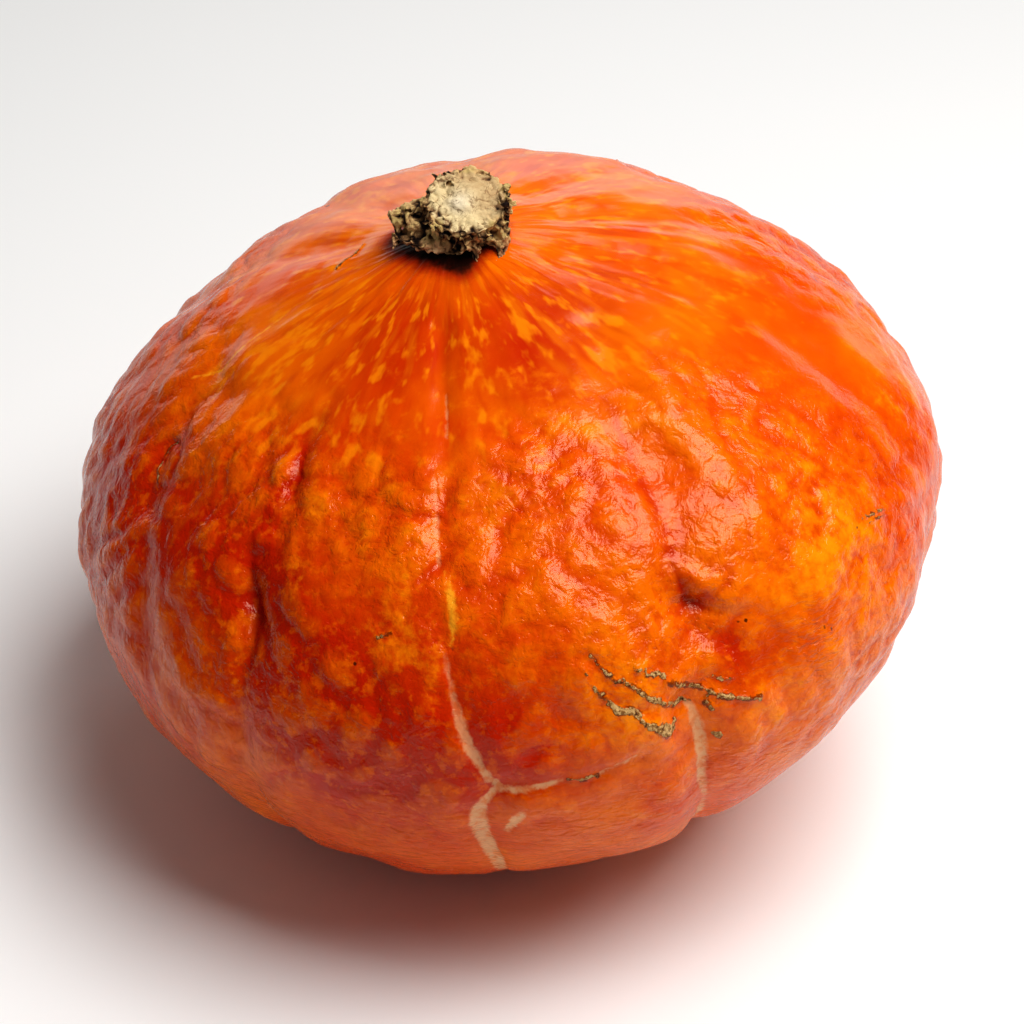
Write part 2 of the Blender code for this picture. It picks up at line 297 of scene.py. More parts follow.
    def edge_gap(self, ways: np.ndarray, points: Points) -> np.ndarray:
        """Millimetres to the edge of a strip whose points hold its half width, negative inside."""
        gap, half, _ = self.beside(ways, points, 0.0)
        return gap - half

    def fold_relief(self, ways: np.ndarray, fold: Fold) -> np.ndarray:
        """Millimetres that one crease or ridge adds to the smooth form."""
        gap, share, side = self.beside(ways, fold.points, 1.0)
        width = np.where(side < 0.0, fold.right_width or fold.width, fold.width)
        return fold.rise * share * bell(gap, width)

    def spot_gap(self, ways: np.ndarray, polar: float, bearing: float) -> np.ndarray:
        """Millimetres along the skin from each direction to one spot."""
        return np.linalg.norm(ways - direction(polar, bearing), axis=1) * self.radius

    def smooth(self, ways: np.ndarray) -> np.ndarray:
        """Distance of the smooth form from the centre.

        Args:
            ways: Unit directions, one row each.

        Returns:
            Millimetres for each direction.
        """
        polar = np.arccos(np.clip(ways[:, 2], -1.0, 1.0))
        bearing = np.arctan2(ways[:, 0], -ways[:, 1])
        height = np.where(ways[:, 2] > 0.0, self.top_height, self.bottom_depth)
        side, up = np.abs(np.sin(polar)), np.abs(np.cos(polar))
        power = self.fullness
        form = ((side / self.half_width) ** power + (up / height) ** power) ** (-1.0 / power)
        form += self.neck_rise * bell(polar, math.radians(self.neck_spread))
        share, crest = self.one_sided
        waves = share * np.cos(bearing - math.radians(crest)) * side
        share, crest = self.oval
        waves += share * np.cos(2.0 * (bearing - math.radians(crest))) * side**2
        share, crest = self.shoulder
        waves += share * np.cos(bearing - math.radians(crest)) * np.sin(2.0 * polar)
        return form * (1.0 + waves)

    def relief(self, ways: np.ndarray) -> np.ndarray:
        """Creases, furrows, swells and lumps of the solid.

        Args:
            ways: Unit directions, one row each.

        Returns:
            Millimetres that they add to the smooth form.
        """
        added = np.zeros(len(ways))
        for fold in (*self.folds, *self.furrows()):
            added += self.fold_relief(ways, fold)
        for swell in self.swells:
            gap = self.spot_gap(ways, swell.polar, swell.bearing)
            added += swell.rise * bell(gap, swell.spread)
        scale = self.radius / self.lump_size
        shift = Vector(self.lump_seed)
        lumps = np.array([noise.noise(Vector(way) * scale + shift) for way in ways])
        polar = np.degrees(np.arccos(np.clip(ways[:, 2], -1.0, 1.0)))
        share = smooth_step(polar, self.lumps_from, self.lumps_full)
        return added + self.lump_height * share * lumps

    def tilt(self) -> np.ndarray:
        """Rotation that leans the fruit's axis towards -X, as a 3 by 3 array."""
        return np.array(Matrix.Rotation(math.radians(-self.lean), 3, "Y"))


def grid_directions(cells: int) -> bmesh.types.BMesh:
    """Make a unit sphere of even square cells, from a cube with its faces divided.

    Args:
        cells: Number of cells along each edge of the cube.

    Returns:
        The sphere, as a mesh of quads.
    """
    bm = bmesh.new()
    bmesh.ops.create_cube(bm, size=2.0)
    bmesh.ops.subdivide_edges(bm, edges=bm.edges, cuts=cells - 1, use_grid_fill=True)
    evened = np.tan(rows_of(bm) * math.pi / 4.0)
    move_to(bm, evened / np.linalg.norm(evened, axis=1)[:, None])
    return bm


def rows_of(bm: bmesh.types.BMesh) -> np.ndarray:
    """Places of a mesh's vertices, one row each."""
    return np.array([vert.co for vert in bm.verts])


def move_to(bm: bmesh.types.BMesh, places: np.ndarray) -> None:
    """Move a mesh's vertices to the given rows."""
    for vert, place in zip(bm.verts, places):
        vert.co = place


def mesh_object(bm: bmesh.types.BMesh, name: str) -> bpy.types.Object:
    """Turn a mesh in the making into a smooth-shaded object of the scene.

    Args:
        bm: The mesh, which is freed.
        name: Name of the object.

    Returns:
        The new object.
    """
    bmesh.ops.recalc_face_normals(bm, faces=bm.faces)
    mesh = bpy.data.meshes.new(name)
    bm.to_mesh(mesh)
    bm.free()
    mesh.shade_smooth()
    made = bpy.data.objects.new(name, mesh)
    bpy.context.scene.collection.objects.link(made)
    return made


def store(mesh: bpy.types.Mesh, name: str, values: np.ndarray) -> None:
    """Keep a number, or a vector, at each vertex for the finish to read.

    Args:
        mesh: The mesh.
        name: Name of the attribute.
        values: One number or one row of three for each vertex.
    """
    kind, key = ("FLOAT_VECTOR", "vector") if values.ndim == 2 else ("FLOAT", "value")
    kept = mesh.attributes.new(name, kind, "POINT")
    kept.data.foreach_set(key, values.astype(np.float32).ravel())


@dataclass(frozen=True)
class Value:
    """A number that a finish works out at each point; arithmetic on it adds Math nodes."""

    graph: "Graph"
    socket: bpy.types.NodeSocket

    def worked(self, operation: str, *operands: Any) -> "Value":
        """Add one Math node.

        Args:
            operation: The node's operation.
            operands: Its inputs in order, as values or numbers; only this value if left out.

        Returns:
            The node's result.
        """
        inputs = dict(enumerate(operands or (self,)))
        made = self.graph.node("ShaderNodeMath", {"operation": operation}, inputs)
        return Value(self.graph, made.outputs[0])

    def __add__(self, other: Any) -> "Value":
        """This plus the other."""
        return self.worked("ADD", self, other)

    def __radd__(self, other: Any) -> "Value":
        """The other plus this."""
        return self.worked("ADD", other, self)

    def __sub__(self, other: Any) -> "Value":
        """This minus the other."""
        return self.worked("SUBTRACT", self, other)

    def __rsub__(self, other: Any) -> "Value":
        """The other minus this."""
        return self.worked("SUBTRACT", other, self)

    def __mul__(self, other: Any) -> "Value":
        """This times the other."""
        return self.worked("MULTIPLY", self, other)

    def __rmul__(self, other: Any) -> "Value":
        """The other times this."""
        return self.worked("MULTIPLY", other, self)

    def clamped(self) -> "Value":
        """This, kept from 0 to 1."""
        return self.worked("MAXIMUM", self.worked("MINIMUM", self, 1.0), 0.0)

    def step(self, low: float, high: float) -> "Value":
        """Rise smoothly from 0 to 1 between two numbers.

        Args:
            low: Where the result is 0.
            high: Where it is 1; it may be the smaller of the two.

        Returns:
            The share.
        """
        start, end = min(low, high), max(low, high)
        made = self.graph.node(
            "ShaderNodeMapRange", {"interpolation_type": "SMOOTHSTEP"},
            {"Value": self, "From Min": start, "From Max": end},
        )
        share = Value(self.graph, made.outputs["Result"])
        return share if low < high else 1.0 - share


class Graph:
    """The node tree of one material."""

    def __init__(self, name: str) -> None:
        """Start an empty material.

        Args:
            name: Name of the material.
        """
        self.material = bpy.data.materials.new(name)
        self.material.use_nodes = True
        self.tree = self.material.node_tree
        self.tree.nodes.clear()

    def node(
        self, kind: str, settings: dict[str, Any] | None = None, inputs: dict[Any, Any] | None = None
    ) -> bpy.types.Node:
        """Add a node of any kind.

        Args:
            kind: The node's type.
            settings: Its settings, which are set first.
            inputs: Values, sockets or numbers for its inputs, by name or place.

        Returns:
            The node.
        """
        made = self.tree.nodes.new(kind)
        for name, setting in (settings or {}).items():
            setattr(made, name, setting)
        for key, given in (inputs or {}).items():
            source = given.socket if isinstance(given, Value) else given
            if isinstance(source, bpy.types.NodeSocket):
                self.tree.links.new(source, made.inputs[key])
            else:
                made.inputs[key].default_value = source
        return made

    def kept(self, name: str) -> Value:
        """A number kept at the mesh's vertices."""
        made = self.node("ShaderNodeAttribute", {"attribute_name": name})
        return Value(self, made.outputs["Fac"])

    def kept_vector(self, name: str) -> bpy.types.NodeSocket:
        """A vector kept at the mesh's vertices."""
        return self.node("ShaderNodeAttribute", {"attribute_name": name}).outputs["Vector"]

    def place(self) -> bpy.types.NodeSocket:
        """The point's place in the piece, in metres."""
        return self.node("ShaderNodeTexCoord").outputs["Object"]

    def noise(
        self, where: bpy.types.NodeSocket, size: float, detail: float = 2.0, rough: float = 0.5,
        warp: float = 0.0,
    ) -> Value:
        """Smooth noise from 0 to 1.

        Args:
            where: Place or vector that it depends on.
            size: Size of its lumps in millimetres, or in the vector's thousandths.
            detail: Number of finer layers.
            rough: Strength of the finer layers.
            warp: How far it is distorted.

        Returns:
            The noise.
        """
        made = self.node("ShaderNodeTexNoise", {}, {
            "Vector": where, "Scale": 1.0 / (size * MM), "Detail": detail, "Roughness": rough,
            "Distortion": warp,
        })
        return Value(self, made.outputs["Fac"])

    def worms(self, where: bpy.types.NodeSocket, size: float, warp: float = 0.5) -> Value:
        """Noise folded into winding valleys, 0 in a valley and 1 far from one.

        Args:
            where: Place or vector that it depends on.
            size: Size of its lumps in millimetres.
            warp: How far it is distorted.

        Returns:
            The folded noise.
        """
        folded = (self.noise(where, size, 1.0, 0.4, warp) - 0.5).worked("ABSOLUTE")
        return folded.step(0.0, 0.16)

    def mix(self, share: Any, first: Any, second: Any) -> bpy.types.NodeSocket:
        """Blend two colours.

        Args:
            share: Share of the second one, from 0 to 1.
            first: First colour, or a socket that gives one.
            second: Second colour, or a socket that gives one.

        Returns:
            The blended colour.
        """
        made = self.node(
            "ShaderNodeMix", {"data_type": "RGBA", "clamp_factor": True}, {0: share, 6: first, 7: second}
        )
        return made.outputs[2]

    def bump(self, height: Value, depth: float, before: Any = None) -> bpy.types.NodeSocket:
        """Tilt the surface by a fine relief.

        Args:
            height: Relief, from 0 to 1.
            depth: Its depth in millimetres.
            before: Normal of a coarser relief, if there is one.

        Returns:
            The new normal.
        """
        inputs = {"Strength": 1.0, "Distance": depth * MM, "Height": height}
        if before is not None:
            inputs["Normal"] = before
        return self.node("ShaderNodeBump", {}, inputs).outputs["Normal"]

    def finish(self, **sockets: Any) -> bpy.types.Material:
        """Close the tree with a Principled shader.

        Args:
            sockets: Its inputs, with underscores for spaces.

        Returns:
            The material.
        """
        inputs = {name.replace("_", " "): given for name, given in sockets.items()}
        shader = self.node("ShaderNodeBsdfPrincipled", {}, inputs)
        self.node("ShaderNodeOutputMaterial", {}, {"Surface": shader.outputs["BSDF"]})
        return self.material


@dataclass(frozen=True)
class RindFinish:
    """Waxy rind: orange-red with golden mottles and streaks, cream seams and tan corky scars, and painted
    shade in its creases and hollows and round the stem.
    """

    sap_and_shadow_black: str = "1A0300"
    deep_red_and_shade: str = "980E00"
    red: str = "BC2400"
    orange_red: str = "E25400"
    orange: str = "EC6E00"
    golden: str = "F8900A"
    yellow: str = "FFAA28"
    blush_cream: str = "E6935A"
    cream: str = "E8B888"
    cork_light: str = "DDB377"
    cork: str = "9C6A34"
    cork_edge: str = "5A1C02"
    cork_dark: str = "3A1405"
    gloss: float = 1.37
    gloss_tint: str = "FFEED6"

    def base(self, graph: Graph, knob: Value) -> bpy.types.NodeSocket:
        """Colour of the rind before its marks.

        Args:
            graph: The material's tree.
            knob: Height of the skin's lumps, from 0 in a hollow to 1.

        Returns:
            The colour.
        """
        where = graph.place()
        broad = graph.noise(where, 34.0, 3.0, 0.5, 0.3)
        colour = graph.mix(broad.step(0.38, 0.62), paint(self.orange_red), paint(self.orange))
        # Redder where the skin blushes, and in hollows and along creases where shade is painted; above 0.9
        # it turns deep red.
        red = graph.kept("blush_and_shade") + (graph.noise(where, 15.0, 3.0) - 0.5) * 0.9
        colour = graph.mix(red.clamped(), colour, paint(self.red))
        colour = graph.mix((red - 0.9).clamped() * 0.5, colour, paint(self.deep_red_and_shade))
        light = graph.mix(red.clamped() * 0.75, paint(self.golden), paint(self.orange))
        patchy = graph.noise(where, 5.0, 3.0, 0.6, 0.5) - 0.5
        pebbled = graph.kept("pebbled")
        # The lumps' tops are painted more orange and their hollows redder: painted light and shade on the
        # relief.
        top = (knob + patchy * 1.1).step(0.42, 0.82) * pebbled
        colour = graph.mix(top * (0.7 - red.clamped() * 0.3), colour, paint(self.orange))
        low = (knob + patchy * 1.4).step(0.40, 0.0) * pebbled
        colour = graph.mix(low * 0.45, colour, paint(self.red))
        mottled = graph.noise(where, 2.2, 3.0, 0.6) - 0.5
        colour = graph.mix(mottled.step(0.0, 0.16) * pebbled * 0.45, colour, paint(self.orange))
        colour = graph.mix(mottled.step(0.0, -0.16) * pebbled * 0.35, colour, paint(self.red))
        # Golden mottles, leaning a little towards the lumps' tops as painted light.
        gold = graph.kept("gold") + patchy * 1.2 + mottled * 1.4 + (knob - 0.5) * 0.3
        colour = graph.mix(gold.step(0.15, 1.1) * 0.9, colour, light)
        return self.streaked(graph, colour)

    def streaked(self, graph: Graph, colour: bpy.types.NodeSocket) -> bpy.types.NodeSocket:
        """Add the streaks and flecks that fan out from the stem.

        Args:
            graph: The material's tree.
            colour: Colour so far.

        Returns:
            The new colour.
        """
        along = graph.kept_vector("streak")
        fanned = graph.kept("fanned")
        light = graph.noise(along, 130.0, 2.0, 0.5).step(0.52, 0.66) * fanned
        colour = graph.mix(light * 0.3, colour, paint(self.golden))
        dark = graph.noise(along, 90.0, 2.0, 0.5).step(0.50, 0.36) * fanned
        colour = graph.mix(dark * 0.35, colour, paint(self.red))
        band = graph.noise(along, 190.0, 1.0)
        fleck = graph.noise(graph.kept_vector("fleck"), 66.0, 2.0, 0.45) + (band - 0.5) * 0.35
        return graph.mix(fleck.step(0.52, 0.72) * graph.kept("flecked") * 0.6, colour, paint(self.golden))

    def marked(
        self, graph: Graph, colour: bpy.types.NodeSocket, cork: Value, wobble: Value
    ) -> bpy.types.NodeSocket:
        """Lay the seams, scars, specks and the dark ring at the stem, a dried stain with the stub's shadow
        painted in, over the rind's colour.

        Args:
            graph: The material's tree.
            colour: Colour so far.
            cork: Share of cork.
            wobble: Noise that makes the marks' edges uneven.

        Returns:
            The new colour.
        """
        where = graph.place()
        seam = (graph.kept("seam_gap") + wobble * 1.5).step(0.50, -0.30) * graph.kept("seam_share")
        worn = graph.noise(where, 2.2, 3.0, 0.6).step(0.36, 0.56)
        pale = graph.mix(worn, paint(self.blush_cream), paint(self.cream))
        colour = graph.mix(seam, colour, pale)
        strip = (graph.kept("strip_gap") + wobble * 1.6).step(0.55, -0.35)
        colour = graph.mix(strip * 0.8, colour, paint(self.yellow))
        patch = graph.noise(where, 2.4, 2.0)
        rim = (graph.kept("cork_gap") + wobble * 1.9).step(0.40, 0.10) * patch.step(0.44, 0.58)
        colour = graph.mix(rim * 0.8, colour, paint(self.cork_edge))
        crumbs = graph.noise(where, 0.62, 2.0, 0.6)
        tan = graph.mix(crumbs.step(0.42, 0.60), paint(self.cork), paint(self.cork_light))
        tan = graph.mix(crumbs.step(0.42, 0.30), tan, paint(self.cork_dark))
        colour = graph.mix(cork, colour, tan)
        speck = (graph.kept("speck_gap") + wobble * 0.6).step(0.14, -0.10)
        colour = graph.mix(speck * 0.9, colour, paint(self.cork_dark))
        # Ring round the stem: a dried stain with painted shadow of the stub, deep red at its rim and near
        # black in its core.
        edge = graph.kept("stain_and_shadow") + wobble * 0.35
        colour = graph.mix(edge.step(0.02, 0.62) * 0.75, colour, paint(self.deep_red_and_shade))
        return graph.mix(edge.step(0.48, 1.0), colour, paint(self.sap_and_shadow_black))

    def material(self) -> bpy.types.Material:
        """Build the finish.

        Returns:
            The material.
        """
        graph = Graph("rind")
        where = graph.place()
        wobble = graph.noise(where, 1.5, 3.0, 0.6) - 0.5
        ragged = wobble * 2.2 + (graph.noise(where, 2.6, 1.0) - 0.5) * 1.0
        cork = (graph.kept("cork_gap") + ragged).step(0.06, -0.14)
        pebbled = graph.kept("pebbled")
        bumpy = graph.noise(where, 3.0, 3.0, 0.5, 0.4)
        pitted = graph.noise(where, 0.8, 1.0, 0.4).step(0.42, 0.26)
        colour = self.base(graph, graph.kept("knob"))
        # The fine bump's low places are painted redder, as shade in the relief.
        colour = graph.mix(bumpy.step(0.48, 0.34) * pebbled * 0.35, colour, paint(self.red))
        # Painted shade: the creases' shadowed walls are laid over in deep red.
        colour = graph.mix(graph.kept("crease_shade"), colour, paint(self.deep_red_and_shade))
        colour = self.marked(graph, colour, cork, wobble)
        fine = graph.noise(where, 0.6, 2.0)
        pleated = graph.noise(graph.kept_vector("streak"), 70.0, 1.0, 0.4)
        normal = graph.bump(pleated * graph.kept("fanned"), 0.16)
        normal = graph.bump((bumpy - pitted * 0.07) * pebbled, 0.8, normal)
        stretched = self.stretched(graph)
        wrinkled = graph.noise(stretched, 2.6, 2.0, 0.55, 0.5) * graph.kept("wrinkled")
        normal = graph.bump(wrinkled, 0.8, normal)
        normal = graph.bump(fine, 0.02, normal)
        normal = graph.bump(graph.noise(where, 0.5, 4.0, 0.65) * cork, 0.6, normal)
        rough = 0.13 + graph.noise(where, 12.0, 3.0) * 0.12 + fine * 0.05
        rough = rough + cork * 0.5 + graph.kept("stain_and_shadow") * 0.2
        return graph.finish(
            Base_Color=colour, Roughness=rough, Normal=normal, IOR=self.gloss,
            Specular_Tint=paint(self.gloss_tint),
        )

    def stretched(self, graph: Graph) -> bpy.types.NodeSocket:
        """The point's place with its height drawn out, so that noise on it lies in level folds."""
        spread = graph.node(
            "ShaderNodeVectorMath", {"operation": "MULTIPLY"}, {0: graph.place(), 1: (1.0, 1.0, 2.3)}
        )
        return spread.outputs["Vector"]


@dataclass(frozen=True)
class CorkFinish:
    """Dry cork of the stem: pale straw on the broken face, olive-tan bark, and painted shade, brown to near
    black, in its hollows.
    """

    straw: str = "DFC797"
    sand: str = "BC9C70"
    tan: str = "D2AE76"
    olive: str = "BEA468"
    rosy: str = "C4966E"
    brown: str = "6E4826"
    dark: str = "1E0C05"
    cream: str = "F4E6CC"

    def material(self) -> bpy.types.Material:
        """Build the finish.

        Returns:
            The material.
        """
        graph = Graph("cork")
        where = graph.place()
        patch = graph.noise(where, 3.0, 3.0, 0.6)
        bark = graph.mix(patch.step(0.40, 0.60), paint(self.olive), paint(self.tan))
        low = (graph.kept("low_part") + (patch - 0.5) * 0.6).clamped()
        bark = graph.mix(low * 0.8, bark, paint(self.rosy))
        grainy = graph.noise(where, 1.2, 4.0, 0.65)
        pale = (graph.kept("pale") * 0.9 + (grainy - 0.5) * 1.6 + 0.1).clamped()
        broken = graph.mix(pale, paint(self.sand), paint(self.straw))
        face = (graph.kept("face") + (patch - 0.5) * 0.5).clamped()
        colour = graph.mix(face, bark, broken)
        colour = graph.mix(graph.kept("heart") * 0.8, colour, paint(self.cream))
        crack = graph.worms(where, 1.7, 1.2).step(0.22, 0.02) * graph.noise(where, 2.1, 2.0).step(0.46, 0.60)
        colour = graph.mix(crack * 0.6, colour, paint(self.brown))
        # Painted shade: the carved relief's low places turn brown, and the lowest near black.
        height = graph.kept("height") + (graph.noise(where, 0.7, 3.0, 0.6) - 0.5) * 0.4
        colour = graph.mix(height.step(0.28, 0.0) * 0.8, colour, paint(self.brown))
        colour = graph.mix(height.step(0.08, -0.25), colour, paint(self.dark))
        normal = graph.bump(graph.noise(where, 0.7, 4.0, 0.65), 0.3)
        return graph.finish(Base_Color=colour, Roughness=0.78 + grainy * 0.2, Normal=normal, IOR=1.4)


@dataclass(frozen=True)
class FloorFinish:
    """Plain pale floor with a barely uneven matt surface."""

    pale: str = "F4F3F1"
    shade: str = "F0EFED"

    def material(self) -> bpy.types.Material:
        """Build the finish.

        Returns:
            The material.
        """
        graph = Graph("floor")
        tone = graph.noise(graph.place(), 300.0, 2.0)
        colour = graph.mix(tone, paint(self.pale), paint(self.shade))
        return graph.finish(Base_Color=colour, Roughness=0.9)


def dress(piece: bpy.types.Object, material: bpy.types.Material, node: Node) -> None:
    """Give a piece its finish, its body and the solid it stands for.

    Args:
        piece: The piece.
        material: Its finish.
        node: The solid that it replaces.
    """
    piece.data.materials.clear()
    piece.data.materials.append(material)
    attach(piece, BODY)
    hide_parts(node.value)


@dataclass(frozen=True)
class FruitSkin:
    """The whole fruit: the solid's form with finer lumps, pleats, seams and scars."""

    form: SkinForm = SkinForm()
    finish: RindFinish = RindFinish()
    cells: int = 104
    knob_size: float = 9.0
    knob_height: float = 0.85
    pebble_size: float = 4.0
    pebble_height: float = 0.4
    pleat_height: float = 0.20
    scar_height: float = 0.45
    seam_depth: float = 0.25
    cream_seams: tuple[Points, ...] = (
        ((38.8, -3.2, 0.05), (43.3, -2.8, 0.15), (47.3, -2.8, 0.1)),
        ((53.7, -4.8, 0.05), (59.5, -4.5, 0.2), (66, -4.3, 0.2)),
        ((76.4, -3.7, 0.2), (78.1, -3.6, 0.3), (79.9, -3.3, 0.3)),
        (
            (80.8, -3.2, 0.35), (82.6, -2.8, 0.7), (84.6, -2.5, 0.85), (86.9, -1.9, 0.85),
            (89.3, -1.1, 0.7), (91.5, -0.2, 0.6), (93.2, 0.8, 0.6), (93.5, 2.3, 0.4),
            (93.2, 5.2, 0.3), (92.8, 8, 0.25),
        ),
        ((92.9, 12.7, 0.15), (92.1, 14.6, 0.3), (91.7, 16.8, 0.15)),
        (
            (93.3, 0.6, 0.3), (94.3, -0.8, 0.7), (96.2, -2, 1.2), (98.8, -2.4, 1.5),
            (102.8, -2.4, 1.35), (108.8, -1.6, 1.4), (125, -1.6, 0.9), (150, -1, 0.8), (172, 0, 1.4),
        ),
        ((96.7, 3, 0.5), (98.3, 2, 0.8), (100.8, 0.8, 0.4)),
        (
            (87.2, 23.9, 0.3), (88.4, 24.6, 0.55), (90.2, 24.9, 0.8), (92.7, 25.3, 0.9),
            (95.8, 25.3, 0.9), (99.6, 25.3, 0.7), (115, 29, 0.7), (140, 27, 0.8), (172, 0, 1.3),
        ),
        ((104, -34, 0.1), (120, -36, 0.6), (145, -34, 0.7), (172, 0, 1.3)),
    )
    golden_strips: tuple[Points, ...] = (
        ((66.8, -3.2, 0.1), (69.7, -2.6, 0.7), (72, -2.3, 0.7), (75.2, -2.9, 0.1)),
        (
            (55.1, -82.8, 0.1), (49.5, -78.3, 0.35), (44.8, -79.2, 0.35), (39.7, -81.2, 0.3),
            (34.1, -83.2, 0.1),
        ),
    )
    scars: tuple[Points, ...] = (
        (
            (81.4, 13.3, 0.1), (82.6, 13.9, 0.35), (83.9, 14.7, 0.35), (84.9, 15.6, 0.55),
            (85.4, 17.1, 0.7), (86.6, 18, 0.5), (87.9, 19, 0.6), (88.7, 20.1, 0.85), (89.8, 21.3, 0.95),
        ),
        ((89.8, 21.3, 0.5), (89.1, 22.4, 0.25)),
        (
            (78.3, 13.9, 0.15), (78.9, 14.3, 0.25), (79.8, 14.7, 0.05), (80.6, 15.3, 0.25),
            (81.5, 16, 0.35), (82.2, 17.3, 0.1), (83.2, 18.3, 0.2), (84.4, 19.3, 0.25),
            (85.5, 20.7, 0.45), (86.5, 21.8, 0.35), (87.4, 22.7, 0.3), (87, 23.7, 0.45), (87.7, 24.4, 0.2),
        ),
        (
            (80.9, 18.8, 0.4), (81, 19.6, 0.25), (81.9, 19.9, 0.35), (82.2, 21.4, 0.35),
            (83.5, 22, 0.25), (84.6, 23.4, 0.3), (85.3, 24.6, 0.35), (86.2, 26.2, 0.3),
            (87.1, 27.3, 0.35), (87.8, 28.5, 0.35), (88.7, 30.5, 0.3), (89.4, 32.4, 0.4),
        ),
        ((85.2, 27.8, 0.1), (85.9, 28.8, 0.3), (86.1, 29.9, 0.1)),
        ((87, 26.7, 0.15), (87.8, 26.3, 0.3), (88.8, 26.6, 0.3)),
        ((79.4, 12.7, 0.1), (80.2, 12.8, 0.1)),
        ((78.4, 55.3, 0.1), (79, 57.7, 0.2), (79.9, 60.2, 0.15)),
        ((79.1, 55.6, 0.15), (80.4, 59.9, 0.15)),
        ((74.4, -12.8, 0.3), (74.1, -11.9, 0.1), (73.8, -10.8, 0.1)),
        ((23.6, -96.9, 0.3), (22.2, -100.5, 0.4), (20.4, -107, 0.35), (19.6, -114.8, 0.2)),
        (
            (68.4, -66.1, 0.1), (66.5, -69.3, 0.3), (64.8, -71.2, 0.15), (63.2, -71.4, 0.35),
            (61.8, -70.8, 0.2),
        ),
        ((92.7, 8.8, 0.2), (93, 10.6, 0.45), (93, 12, 0.2)),
        ((92.4, 26.8, 0.55), (92.7, 27.1, 0.5)),
        ((57, 151, 0.2), (60, 152.5, 0.45), (63.5, 152, 0.25)),
        ((88, -158, 0.2), (90, -156, 0.5), (91, -152, 0.3), (91.5, -149, 0.1)),
        ((180, 0, 3.2), (179, 0, 3.2)),
    )
    specks: Points = (
        (34, 15.1, 0.22), (42.5, 26.3, 0.2), (38.4, -4.9, 0.15), (31.8, 145.9, 0.5), (43.5, 100.6, 0.5),
        (101.3, -23.8, 0.3), (47, -111.9, 0.5), (47.6, -146.3, 0.7), (31.9, -61.4, 0.3), (59.7, 20.6, 0.15),
        (61.9, 17.2, 0.15), (77.5, -15.5, 0.4), (81.8, 61.7, 0.25), (83.6, 63.2, 0.3), (78.7, 53.9, 0.3),
        (85.6, 56, 0.35), (80.6, 33.7, 0.35), (80.5, 32.8, 0.25), (85.4, 42.9, 0.35), (86.1, 43.7, 0.3),
        (63.9, -70.2, 0.3), (72, 118, 0.3), (83, 171, 0.35), (66, -170, 0.3),
    )
    creases: tuple[Fold, ...] = (
        Fold(1.1, -0.45, (
            (52, -36.4, 0.0), (54, -35.4, 0.35), (57, -33.8, 0.3), (61, -34.6, 0.2), (66, -36.6, 0.3),
            (70, -36.1, 0.9), (73, -34.8, 1.0), (76.5, -33, 0.9), (80, -32, 0.6), (85, -32.8, 0.2),
            (90, -33.5, 0.0),
        )),
        Fold(1.2, -0.5, ((71, 27.6, 0.0), (74.1, 27.6, 0.8), (76.8, 28.2, 1.0), (78.6, 30.9, 0.0))),
        Fold(2.0, 2.0, (
            (77.4, 29.2, 0.0), (79.2, 31.6, 0.7), (80.7, 33.8, 1.05), (82, 37.6, 0.65),
            (83.6, 41.4, 0.32), (86, 43.6, 0.0),
        ), right_width=8.0),
        Fold(4.5, -0.6, ((48, 33, 0.2), (56, 31, 0.8), (64, 29.2, 1.0), (70, 28.4, 0.7), (73, 28, 0.0))),
    )
    blisters: tuple[Swell, ...] = (
        Swell(59.3, -27.5, 4.2, 0.55), Swell(68, -27, 3.6, 0.5), Swell(63.8, -54.9, 3.8, 0.35),
        Swell(52.3, -28.4, 3.6, 0.3), Swell(58.7, -53.9, 3.6, 0.3), Swell(67.2, -47.9, 3.4, 0.35),
        Swell(63.7, -16.6, 3.6, 0.25), Swell(51.2, -9.6, 3.8, 0.25), Swell(82.5, -34.2, 2.6, 0.5),
        Swell(76.4, -6, 3.2, 0.3), Swell(73.1, -46.7, 3.6, 0.35), Swell(77, -36.5, 2.8, 0.5),
        Swell(54, 15, 3.8, 0.35), Swell(57, 8, 3.2, 0.3), Swell(62, 60, 3.8, 0.2),
    )
    smooth_areas: tuple[Swell, ...] = (
        Swell(60, 78, 26, 0.9), Swell(52, -4, 14, 0.35), Swell(88, 40, 12, 0.5), Swell(60, 160, 20, 0.5),
        Swell(66, -100, 16, 0.4),
    )
    gold_areas: tuple[Swell, ...] = (
        Swell(79, 48, 12, 0.7), Swell(75, -10, 9, 0.5), Swell(40, 21.8, 8, 0.3),
        Swell(34, -66, 8, 0.4), Swell(84, 17, 9, 0.6), Swell(49, 17.7, 7, 0.3),
        Swell(68, 51, 12, 0.2), Swell(44, 93, 14, 0.2), Swell(70, 128, 16, 0.5), Swell(92, -140, 16, 0.5),
        Swell(60, -3, 8, 0.2), Swell(76, 84, 14, 0.4), Swell(100, 172, 16, 0.4), Swell(90, 34, 12, 0.35),
    )
    # Redder areas: mostly the skin's own blush, some of them painted shade in the hollows beside the folds
    # and the left crease.
    blush_and_shade_areas: tuple[Swell, ...] = (
        Swell(68, -48, 24, 1.0), Swell(75, -26, 18, 0.8), Swell(88, -14, 20, 1.3), Swell(87, 5, 12, 0.9),
        Swell(83.5, 30.5, 6.5, 1.05), Swell(85, 39, 7, 0.5), Swell(73, -30, 6, 0.9), Swell(72, -80, 24, 1.1),
        Swell(95, -55, 26, 0.6), Swell(80, -120, 25, 0.5), Swell(50, -30, 14, 0.4), Swell(28, -32, 24, 0.6),
        Swell(38, 30, 18, 0.45), Swell(28, 15, 24, 0.45), Swell(30, 65, 22, 0.4),
        Swell(85, 150, 22, 0.5), Swell(115, 0, 30, 0.3),
    )
